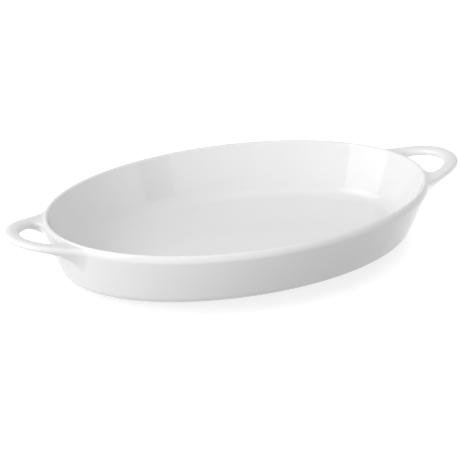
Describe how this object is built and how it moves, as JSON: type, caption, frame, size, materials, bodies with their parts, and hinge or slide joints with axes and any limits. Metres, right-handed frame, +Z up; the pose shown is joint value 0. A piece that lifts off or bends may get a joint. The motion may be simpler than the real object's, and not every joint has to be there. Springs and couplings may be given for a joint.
{
  "type": "oval baking dish",
  "caption": "Shallow oval porcelain baking dish with a rounded rim, a flat floor, a low foot ring and a loop handle at each end, for baking and serving.",
  "frame": {"origin": "middle of the plane that the foot ring stands on", "axes": "+X along the oval towards the right handle, +Y across the oval, +Z up out of the dish"},
  "size_m": [0.3308, 0.18, 0.0429],
  "materials": {
    "glazed_porcelain": "clear gloss glaze over white porcelain, bare only on the foot ring"
  },
  "bodies": {
    "root": {"dish_body": "glazed_porcelain", "right_handle": "glazed_porcelain", "left_handle": "glazed_porcelain"}
  },
  "joints": []
}
